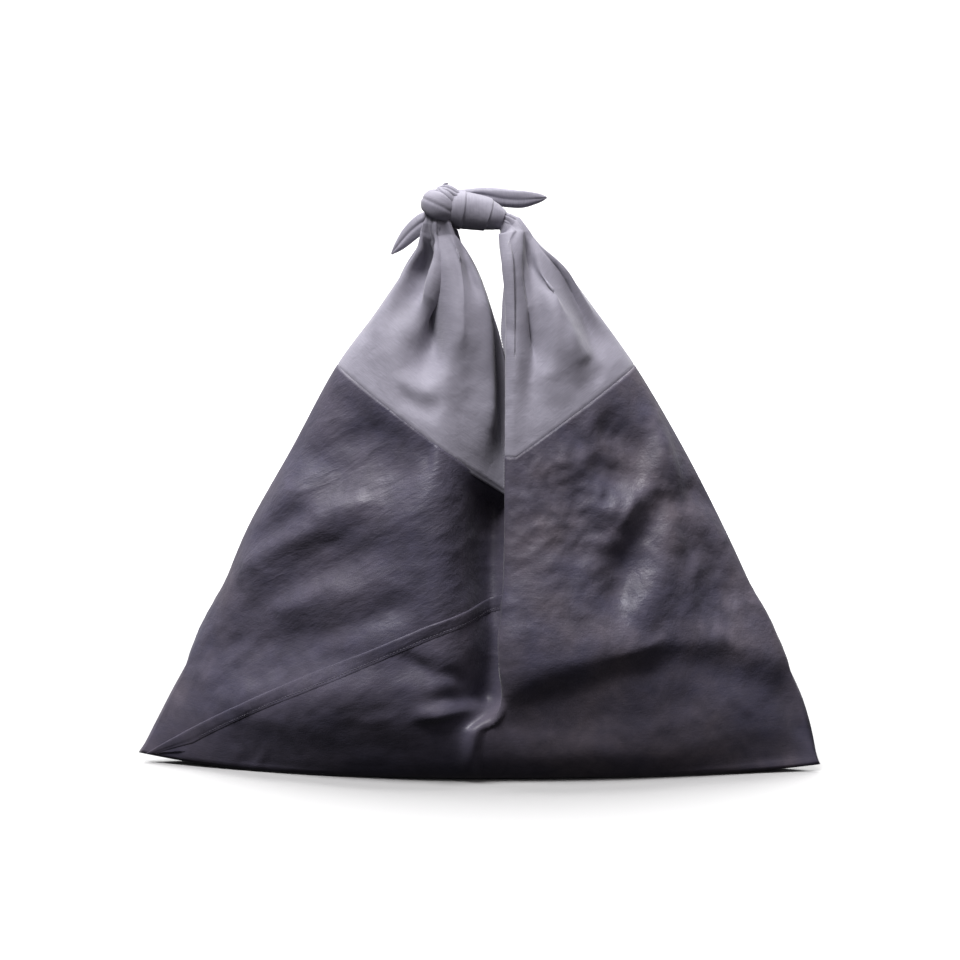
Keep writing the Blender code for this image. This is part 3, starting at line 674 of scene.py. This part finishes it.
# Painted sheen: the violet goes to a lighter taupe in patches, more strongly on the right-hand panel.
colour = (sheen_patches * (right_hand * 0.6 + 0.3)).mixed(VIOLET, TAUPE_SHEEN_AND_WEAVE)
colour = (mottle * 0.55).mixed(colour, DARK)
colour = ((weave - 0.5) * 0.7 + 0.1).ramp(0.0, 1.0).mixed(colour, TAUPE_SHEEN_AND_WEAVE)
streaks = streaks_on(1) * in_front + streaks_on(-1) * (1.0 - in_front)
crumples = room.noise(room, 90.0, detail=5.0, rough=0.62).folded()
wrinkle = streaks * (1.0 - right_hand) + crumples * right_hand
ripple = room.noise(room, 300.0, detail=3.0, warp=0.2).folded()
calm = room.axis("Z").ramp(0.03, 0.14) * 0.75 + 0.25
relief = wrinkle * calm * (0.0024 - right_hand * 0.0008) + ripple * 0.0002 + weave * 0.00012
bump = room.node("ShaderNodeBump", {}, {"Strength": 0.8, "Distance": 1.0, "Height": relief})
rough = mottle * 0.16 + 0.40 + (weave - 0.5) * 0.2
connect(shader, {"Base Color": colour, "Roughness": rough, "Normal": bump})
connect(shader, {"Specular IOR Level": 0.32, "Sheen Weight": 0.12, "Sheen Roughness": 0.4})
body.data.materials.append(nylon)
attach(body, "root")
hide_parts("bag_body")

# ==== Lap seams ====
# Along each slanting seam the lower panel's edge is folded under, laid 10 mm over the upper panel and sewn down
# by one row of stitches near the fold's inner edge. One seam is in front, the other behind.
SEAM_PATH = [
    (-286, 6), (-234, 39), (-193, 63), (-147, 86), (-100, 108), (-63, 125), (-33, 138), (-6, 146), (24, 155),
]
LAP_STEP, STITCH_LINE, STITCH_LIFT, FIRST_STITCH = 1.5, 9.0, 0.75, 36
# The lap is full from LAP_TIP + LAP_RISE upward. Below that it narrows, to LAP_NARROW of its width at the least.
LAP_TIP, LAP_RISE, LAP_LEAST, LAP_NARROW, LAP_END_STEPS = 7, 24, 0.05, 0.12, 3
PUCKER, PUCKER_WAVE = 0.10, 2.1  # how far the stitches pucker the lap, and how fast that comes and goes
# The lap's section, from under its folded edge across its face to where the stitches hold it down: how far below
# the edge and how far off the cloth.
LAP_SECTION = [
    (1.2, -0.6), (0.2, 0.1), (-0.4, 0.8), (-0.2, 1.5), (0.8, 1.8), (2.6, 1.65), (5.5, 1.3), (7.8, 1.0),
    (9.0, 0.45), (10.0, 0.6), (11.2, 0.25), (12.2, -0.6),
]


def half_surface(side, columns):
    """The finished outer surface of some columns of a half, to lay things on."""
    grid = halves[side][:, columns]
    rows, wide = grid.shape[:2]
    index = np.arange(rows * wide).reshape(rows, wide)
    quads = np.stack([index[:-1, :-1], index[:-1, 1:], index[1:, 1:], index[1:, :-1]], axis=2).reshape(-1, 4)
    return BVHTree.FromPolygons([Vector(point) for point in grid.reshape(-1, 3)], quads.tolist())


def laid_on(tree, face, x, z):
    """The cloth's point behind (x, z) as seen from a face of the bag, and its outward normal."""
    way = 1 if face == "front" else -1
    place, normal, _, _ = tree.ray_cast(Vector((x, -300 * way, z)), Vector((0, way, 0)))
    if place is None:
        place, normal, _, _ = tree.find_nearest(Vector((x, -60 * way, z)))
    if normal.y * way > 0:
        normal = -normal
    return np.array(place), np.array(normal)


def even_path(points, step):
    """A smooth line through the points, as places step apart with their unit directions."""
    points = np.array(points, float)
    dense = np.array([between(points, t) for t in np.linspace(0, len(points) - 1, 400)])
    length = np.linalg.norm(np.diff(dense, axis=0), axis=1).sum()
    line = spaced(dense, round(length / step))
    way = np.gradient(line, axis=0)
    return line, way / np.linalg.norm(way, axis=1, keepdims=True)


def lap_grid(face):
    """The lap's surface along one seam, and the line of its stitches."""
    tree = half_surface("left" if face == "front" else "right", slice(0, BODY_COLUMNS[0] + 6))
    line, ways = even_path(SEAM_PATH, LAP_STEP)

    def beside(k, below):
        x, z = line[k] + np.array([ways[k][1], -ways[k][0]]) * below
        return laid_on(tree, face, x if face == "front" else 2 * MIDDLE - x, z)

    rows, stitches = [], []
    for k, (_, z) in enumerate(line):
        taper = min(1, max(LAP_LEAST, (z - LAP_TIP) / LAP_RISE)) * smooth((len(line) - k) / LAP_END_STEPS)
        row = []
        for below, off in LAP_SECTION:
            below = below * (LAP_NARROW + (1 - LAP_NARROW) * taper)
            place, normal = beside(k, below)
            pucker = PUCKER * math.sin(k * LAP_STEP * PUCKER_WAVE) if 7 < below < 11 else 0
            row.append(place + normal * (off * min(1, 0.5 + taper) + pucker))
        rows.append(row)
        if FIRST_STITCH < k < len(line) - 2:
            place, normal = beside(k, STITCH_LINE)
            stitches.append(place + normal * STITCH_LIFT)
    return np.array(rows), np.array(stitches)


def stitch_tree(name, sizes, finish):
    """Geometry Nodes that lay one row of stitches along a line."""
    tree = bpy.data.node_groups.new(name, "GeometryNodeTree")
    tree.interface.new_socket("Geometry", in_out="INPUT", socket_type="NodeSocketGeometry")
    for label, size in sizes.items():
        socket = tree.interface.new_socket(label, in_out="INPUT", socket_type="NodeSocketFloat")
        socket.default_value = size
    tree.interface.new_socket("Geometry", in_out="OUTPUT", socket_type="NodeSocketGeometry")

    def node(kind, settings=None, **links):
        made = tree.nodes.new(kind)
        for label, value in (settings or {}).items():
            setattr(made, label, value)
        for label, source in links.items():
            tree.links.new(source, made.inputs[label.replace("_", " ")])
        return made

    given = node("NodeGroupInput")
    curve = node("GeometryNodeMeshToCurve", Mesh=given.outputs["Geometry"])
    even = node("GeometryNodeResampleCurve", {"mode": "LENGTH"}, Curve=curve.outputs["Curve"])
    tree.links.new(given.outputs["Pitch"], even.inputs["Length"])
    tangent = node("GeometryNodeInputTangent")
    align = node("FunctionNodeAlignEulerToVector", {"axis": "X"}, Vector=tangent.outputs["Tangent"])
    bead = node("GeometryNodeMeshUVSphere")
    bead.inputs["Segments"].default_value = 8
    bead.inputs["Rings"].default_value = 5
    bead.inputs["Radius"].default_value = 0.5
    scale = node("ShaderNodeCombineXYZ", X=given.outputs["Stitch Length"])
    tree.links.new(given.outputs["Thread Width"], scale.inputs["Y"])
    tree.links.new(given.outputs["Thread Width"], scale.inputs["Z"])
    laid = node(
        "GeometryNodeInstanceOnPoints",
        Points=even.outputs["Curve"],
        Instance=bead.outputs["Mesh"],
        Rotation=align.outputs["Rotation"],
        Scale=scale.outputs["Vector"],
    )
    real = node("GeometryNodeRealizeInstances", Geometry=laid.outputs["Instances"])
    dressed = node("GeometryNodeSetMaterial", Geometry=real.outputs["Geometry"])
    dressed.inputs["Material"].default_value = finish
    node("NodeGroupOutput", Geometry=dressed.outputs["Geometry"])
    return tree


def stitched(name, lines, tree, finish):
    """Rows of stitches along lines of points, as one plain mesh."""
    points, edges = [], []
    for line in lines:
        edges += [(len(points) + k, len(points) + k + 1) for k in range(len(line) - 1)]
        points += [tuple(point * MM) for point in line]
    mesh = bpy.data.meshes.new(name)
    mesh.from_pydata(points, edges, [])
    made = placed(name, mesh)
    modifier = made.modifiers.new("stitches", "NODES")
    modifier.node_group = tree
    result = applied(made).data
    result.materials.clear()
    result.materials.append(finish)
    result.shade_smooth()
    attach(made, "root")
    return made


def thread(name, colour, light):
    """Sewing thread: twisted, so that it is banded across its length."""
    made, shader, room = new_finish(name)
    twist = room.noise(room, 1800.0, detail=2.0)
    tint = twist.ramp(0.35, 0.65).mixed(colour, light)
    bump = room.node("ShaderNodeBump", {}, {"Strength": 0.6, "Distance": 0.0002, "Height": twist})
    connect(shader, {"Base Color": tint, "Roughness": 0.55, "Normal": bump})
    return made


dark_thread = thread("dark_thread", (0.06, 0.055, 0.075, 1), (0.15, 0.14, 0.175, 1))
SEAM_STITCH = {"Pitch": 3.0 * MM, "Stitch Length": 2.1 * MM, "Thread Width": 0.5 * MM}
dark_stitches = stitch_tree("dark_stitches", SEAM_STITCH, dark_thread)
seam_stitch_lines = []
for face in ("front", "back"):
    grid, line = lap_grid(face)
    lap = grid_mesh("lap_seam_" + face, [(grid, cloth_places(grid))], closed=True)
    lap.data.materials.append(nylon)
    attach(lap, "root")
    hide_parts("bag_body")
    seam_stitch_lines.append(line)
seam_stitches = stitched("seam_stitches", seam_stitch_lines, dark_stitches, dark_thread)

# ==== Ties ====
# A piece of soft grey cloth is sewn to each peak behind the nylon's folded edge. It is hemmed along its free edges
# and gathered from the seam's full width to a neck about 20 mm across, so deep folds run up into the knot.
TIE_COLUMNS = (62, 54, 26)
TIE_RINGS = 104
TIE_SHEET = 0.9
TIE_CREASES = {
    "left": [
        # the wide valley with its steep right wall, and the bulge beside it
        Crease(-31, 462, -25, 340, 2, 7, 0, 8.0),
        Crease(-38, 462, -47, 322, 3, 17, -21.0),
        Crease(-30, 474, -36, 410, 2, 5.5, -5.0),
        Crease(-22, 468, -8, 330, 2, 12, 6.0),
        Crease(-58, 462, -84, 340, -4, 14, 4.0),
        # the inner edge turns in
        Crease(9, 440, 17, 258, 2, 9, 0, -11.0, face="front_left"),
        Crease(-19, 468, -2, 392, 1, 3.2, -3.4),
        Crease(-14, 440, 0, 404, 2, 3, 1.6),
        Crease(-70, 326, -24, 312, -4, 10, -3.6),
        Crease(-64, 420, -76, 352, 2, 7, -1.8),
        Crease(-88, 352, -60, 402, 3, 8, -1.4),
    ],
    "right": [
        # the roll along the inner edge and the valley beside it
        Crease(30, 470, 39, 306, 5, 6.5, 0, -4.5),
        Crease(27, 474, 30, 262, 1, 8, 3.0),
        Crease(38, 462, 54, 336, -2, 9, -10.0),
        # the slanting ridge, beyond which the cloth falls away
        Crease(30, 476, 100, 330, 3, 13, 4.0, -9.0),
        Crease(56, 420, 62, 310, 1, 8, 2.2),
        Crease(84, 352, 104, 326, 2, 8, -2.4),
    ],
}
TIE_PATCHES = {
    "left": [
        Patch(-50, 330, 50, 40, 26, 30, 5.0, 0.3, 80, 50),
        Patch(-10, 330, 16, 60, 14, 34, 3.6, 0.35, 96, 14),
    ],
    "right": [
        Patch(64, 330, 40, 40, 26, 30, 5.0, 0.3, 100, 50),
        Patch(30, 340, 10, 70, 14, 34, 3.6, 0.35, 90, 14),
    ],
}
TIE_CRUMPLES = {
    "left": [Crumple(-40, 350, 60, 70, 22, 2.2, 84, 1.4, False)],
    "right": [Crumple(60, 350, 60, 70, 22, 2.2, 100, 1.4, False)],
}
for table in (TIE_CREASES, TIE_PATCHES, TIE_CRUMPLES):
    behind = {"left": turned_round(table["right"]), "right": turned_round(table["left"])}
    table["left"] += behind["left"]
    table["right"] += behind["right"]
TUCK_ROWS, TUCK_DEPTH = 0.07, 1.6  # how far the cloth runs down behind the nylon's edge, in rows, and how deep
HEM_WIDTH, HEM_LIFT = 6.0, 0.45
# The strand of gathered cloth in each neck: its centre and half of its width and thickness.
Strand = namedtuple("Strand", "x y z wide deep")
NECKS = {
    "left": [
        Strand(-38, 0, 460.5, 13, 12.5),
        Strand(-38, 0, 468, 10, 10),
        Strand(-36, 0, 478, 8.5, 9),
        Strand(-32, -2, 486, 7.5, 8),
        Strand(-25, -3, 482.5, 7, 8),
        Strand(-15, -2, 477, 6, 7),
    ],
    "right": [
        Strand(22, 0, 458, 11, 11),
        Strand(18, 0, 461.8, 8.2, 9),
        Strand(7, 0, 467, 6, 7),
        Strand(-8, 0, 470.5, 6, 6.5),
        Strand(-20, -5, 470, 5.5, 6),
    ],
}
ROOTS = {"left": Strand(-38, 0, 436, 4, 4), "right": Strand(30, 0, 436, 4, 4)}
NECK_RINGS = 7
FILLING = 0.84
AWAY = {"left": (-1, 0, 0), "right": (1, 0, 0)}


def strand_frames(rows, side_way, per_row):
    """Centre, width and thickness directions and sizes of every section along a strand."""
    count = (len(rows) - 1) * per_row
    sections = np.array([between(rows, i / per_row) for i in range(count + 1)])
    centres = sections[:, :3] + np.array([MIDDLE, 0, 0])
    ahead = np.gradient(centres, axis=0)
    ahead /= np.linalg.norm(ahead, axis=1, keepdims=True)
    frames, wide = [], np.array(side_way, float)
    for centre, way, sizes in zip(centres, ahead, sections[:, 3:]):
        wide = wide - way * np.dot(wide, way)
        wide /= np.linalg.norm(wide)
        frames.append((centre, wide, np.cross(way, wide), sizes))
    return frames


def tie_grid(side):
    """The tie's outer surface from behind the nylon's edge to inside the knot."""
    tucked_rows = [SEAM_ROW - TUCK_ROWS, SEAM_ROW - TUCK_ROWS / 2]
    rows = np.concatenate([tucked_rows, rows_between(SEAM_ROW, TOP_ROW, TIE_RINGS)])
    plain = np.array([half_ring(row, side, TIE_COLUMNS) for row in rows])
    normal = outward(plain, side)
    run = np.concatenate([[0], np.cumsum(np.linalg.norm(np.diff(plain[30], axis=0), axis=1))])
    from_edge = np.minimum(run, run[-1] - run)
    hem = HEM_LIFT * smooth((HEM_WIDTH - from_edge) / 1.5)
    tucked = TUCK_DEPTH * smooth((SEAM_ROW + 0.02 - rows) / 0.05)
    fade = smooth((rows - SEAM_ROW) / 0.35)[:, None] * np.ones(plain.shape[1])
    fade *= smooth(from_edge / 9)
    grid = creased(plain, side, TIE_CREASES[side] + crinkles(TIE_PATCHES[side], 5), TIE_CRUMPLES[side], fade)
    grid += normal * (hem[None, :] - tucked[:, None])[:, :, None]
    way = -1 if side == "left" else 1
    top = np.stack([way * (grid[-1, :, 0] - MIDDLE), way * grid[-1, :, 1]], axis=1)
    low, high = top.min(axis=0), top.max(axis=0)
    shape = (top - (low + high) / 2) / ((high - low) / 2)
    neck = []
    for centre, wide, deep, sizes in strand_frames(NECKS[side][:3], AWAY[side], NECK_RINGS)[: 2 * NECK_RINGS]:
        outline = shape * sizes
        neck.append(centre + outline[:, :1] * wide + outline[:, 1:] * deep)
    return np.concatenate([grid, np.array(neck)])


UNEVEN = 0.35  # how unevenly the pleats lie round a section


def pleated(count, depth, phase):
    """A section's profile with rounded ridges and sharp valleys between them."""

    def profile(turn, t):
        warped = turn + UNEVEN * np.sin(turn + phase) + 0.5 * t
        return 1 - depth * (1 - np.abs(np.cos(count * warped / 2 + phase)))

    return profile


def swept(name, frames, around, profile, closed_run=False):
    """A strand drawn along its frames. Its ends are closed to a point."""
    turn = np.linspace(0, 2 * math.pi, around, endpoint=False)
    rings = []
    for k, (centre, wide, deep, sizes) in enumerate(frames):
        t = k / (len(frames) - 1)
        size = profile(turn, t)
        across, through = np.cos(turn) * size * sizes[0], np.sin(turn) * size * sizes[1]
        rings.append(centre + across[:, None] * wide + through[:, None] * deep)
    if closed_run:
        rings.append(rings[0])
    else:
        rings = [np.repeat(rings[0].mean(axis=0)[None], around, axis=0)] + rings
        rings.append(np.repeat(rings[-1].mean(axis=0)[None], around, axis=0))
    grid = np.array(rings)
    return grid_mesh(name, [(grid, cloth_places(grid))], closed=True)


grey_cloth, shader, room = new_finish("grey_soft_cloth")
flat = room.node("ShaderNodeUVMap", {"uv_map": "cloth"}, {})
GREY, GREY_LIGHT, GREY_DEEP = (0.225, 0.215, 0.262, 1), (0.285, 0.274, 0.33, 1), (0.17, 0.162, 0.20, 1)
soft_tone = room.noise(room, 22.0, detail=3.0).ramp(0.3, 0.7)
warp_threads = threads(flat, 0, 0.0008, 0.010)
weft_threads = threads(flat, 90, 0.0008, 0.010)
weave = (warp_threads + weft_threads) * 0.5
colour = soft_tone.mixed(GREY, GREY_LIGHT)
colour = ((weave - 0.5) * 1.6 + 0.25).ramp(0.0, 1.0).mixed(colour, GREY_DEEP)
ripple = room.noise(room, 90.0, detail=3.0, warp=0.5)
relief = ripple * 0.0008 + weave * 0.0003
bump = room.node("ShaderNodeBump", {}, {"Strength": 0.7, "Distance": 1.0, "Height": relief})
rough = soft_tone * 0.1 + 0.62
connect(shader, {"Base Color": colour, "Roughness": rough, "Normal": bump})
connect(shader, {"Specular IOR Level": 0.35, "Sheen Weight": 0.25, "Sheen Roughness": 0.45})

tie_grids = {side: tie_grid(side) for side in ("left", "right")}
ties = {}
for side, grid in tie_grids.items():
    ties[side] = thickened(grid_mesh("tie_cloth_" + side, [(grid, cloth_places(grid))]), TIE_SHEET)
    ties[side].data.materials.append(grey_cloth)
    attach(ties[side], "root")
    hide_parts("tie_" + side)

# Hem stitches run up both free edges of each tie, where its cloth is turned in.
grey_thread = thread("grey_thread", (0.30, 0.29, 0.33, 1), (0.42, 0.41, 0.46, 1))
HEM_STITCH = {"Pitch": 2.4 * MM, "Stitch Length": 1.6 * MM, "Thread Width": 0.5 * MM}
HEM_COLUMNS, HEM_ROWS, HEM_STITCH_LIFT = (3, -4, -13), slice(4, 98), 0.15
hem_tree = stitch_tree("hem_stitches", HEM_STITCH, grey_thread)
hem_lines = []
for side, grid in tie_grids.items():
    normal = outward(grid, side)
    hem_lines += [(grid + normal * HEM_STITCH_LIFT)[HEM_ROWS, column] for column in HEM_COLUMNS]
hem_stitches = stitched("hem_stitches", hem_lines, hem_tree, grey_thread)

# ==== Knot ====
# The right tie goes once round the left one as a collar, and the left tie goes round the right one in a barrel of
# close turns. The gathered cloth is pleated all along, and each tie ends in a flat, folded, pointed tail.
TAILS = {
    "left": [
        Strand(-36, 3, 474, 4, 4),
        Strand(-43, 7, 466, 6.5, 4.5),
        Strand(-52, 10, 460.5, 8, 4.2),
        Strand(-62, 11, 452, 7.2, 3.6),
        Strand(-71, 10, 442, 4.6, 2.6),
        Strand(-77.5, 9, 435, 0.8, 0.6),
    ],
    "right": [
        Strand(-34, 11, 480, 4, 4),
        Strand(-20, 16, 485, 3.4, 3.2),
        Strand(-5, 18.5, 485.5, 4.4, 3.4),
        Strand(6, 18.5, 483.8, 6.2, 3.8),
        Strand(16, 18.5, 481.7, 7.6, 3.8),
        Strand(30, 17.5, 480.6, 7.4, 3.4),
        Strand(41, 16, 481.2, 5.4, 3.0),
        Strand(48, 15.5, 481.6, 3.2, 2.2),
        Strand(52.5, 15, 482, 0.8, 0.6),
    ],
}
BARREL = [
    Strand(-36, 0, 474, 9, 9),
    Strand(-30, 0, 474, 13.4, 12.6),
    Strand(-24, 0, 473, 15, 14.4),
    Strand(-17, 0, 472, 15.5, 15),
    Strand(-9, 0, 470.6, 15, 15),
    Strand(-1, 0, 469, 14, 14.6),
    Strand(6, 0, 467, 12.2, 13.6),
    Strand(11, 0, 465.3, 10.4, 12),
    Strand(15.5, 0, 463.5, 8.4, 9.8),
]
BARREL_EDGES = [0.36, 0.70]  # where along the barrel each turn's edge lies on the next turn
COLLAR_CENTRE = np.array([-36 + MIDDLE, 0, 475.0])


def barrel_profile(turn, t):
    """Close turns of cloth: each swells a little towards its edge, and steps down there to the next."""
    size = 1 + 0.012 * np.cos(3 * turn + 9 * t)
    for edge in BARREL_EDGES:
        before = edge + 0.03 * np.sin(turn) - t
        size += 0.075 * np.exp(-np.clip(before, 0, 1) / 0.10) * smooth(before / 0.012 + 0.5)
    return size


def tail_profile(turn, t):
    """A flat tail folded on itself: one crease down its front and one behind."""
    front = np.exp(-(((turn - 1.45 * math.pi - 0.3 * t) / 0.22) ** 2))
    behind = np.exp(-(((turn - 0.55 * math.pi) / 0.3) ** 2))
    return 1 - 0.34 * front - 0.25 * behind + 0.03 * np.sin(5 * turn + 7 * t)


def loop_frames(centre, radius, tilt, wide, deep, lift=0.0, count=72):
    """A closed band round the left tie that hangs towards its right side."""
    tilt = math.radians(tilt)
    across = np.array([math.cos(tilt), 0, -math.sin(tilt)])
    axis = np.array([math.sin(tilt), 0, math.cos(tilt)])
    frames = []
    for turn in np.linspace(0, 2 * math.pi, count, endpoint=False):
        out = math.cos(turn) * across + math.sin(turn) * np.array([0, 1, 0])
        swell = 1 + 0.06 * math.sin(3 * turn + 1)
        frames.append((centre + axis * lift + radius * out, axis, out, (wide * swell, deep)))
    return frames


def collar_profile(turn, t):
    """One fold that runs along the band on its outer face."""
    off = turn / math.pi - 0.52 - 0.04 * math.sin(2 * math.pi * t)
    return 1 + 0.02 * np.cos(4 * turn) - 0.10 * np.exp(-((off / 0.05) ** 2))


knot_pieces = {"left": [], "right": []}
for side in ("left", "right"):
    inside = [row._replace(wide=row.wide * FILLING, deep=row.deep * FILLING) for row in NECKS[side]]
    rows = [ROOTS[side]] + inside[:1] + NECKS[side][1:]
    gather = swept("gather_" + side, strand_frames(rows, AWAY[side], 12), 96, pleated(9, 0.16, 0.7))
    tail = swept("tail_" + side, strand_frames(TAILS[side], (0, 0, 1), 12), 64, tail_profile)
    knot_pieces[side] += [gather, tail]
barrel = swept("knot_barrel", strand_frames(BARREL, (0, 0, 1), 14), 96, barrel_profile)
knot_pieces["left"].append(barrel)
band = loop_frames(COLLAR_CENTRE, 11.5, 26, 10.0, 5.6)
upper_band = loop_frames(COLLAR_CENTRE, 9.0, 44, 4.6, 4.2, lift=9.0)
collar = swept("knot_collar", band, 96, collar_profile, closed_run=True)
upper = swept("knot_collar_upper", upper_band, 56, collar_profile, closed_run=True)
knot_pieces["right"] += [collar, upper]
nub_rows = [
    Strand(-34, 1, 482, 3, 3),
    Strand(-33.5, 0, 489, 2.6, 2),
    Strand(-32.5, -1, 493, 1.8, 1.4),
    Strand(-30, -1, 494.5, 0.5, 0.5),
]
knot_pieces["left"].append(swept("knot_nub", strand_frames(nub_rows, (1, 0, 0), 8), 32, pleated(3, 0.2, 0.2)))
for side, pieces in knot_pieces.items():
    for piece in pieces:
        piece.data.materials.append(grey_cloth)
        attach(piece, "root")
        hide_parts("tie_" + side)
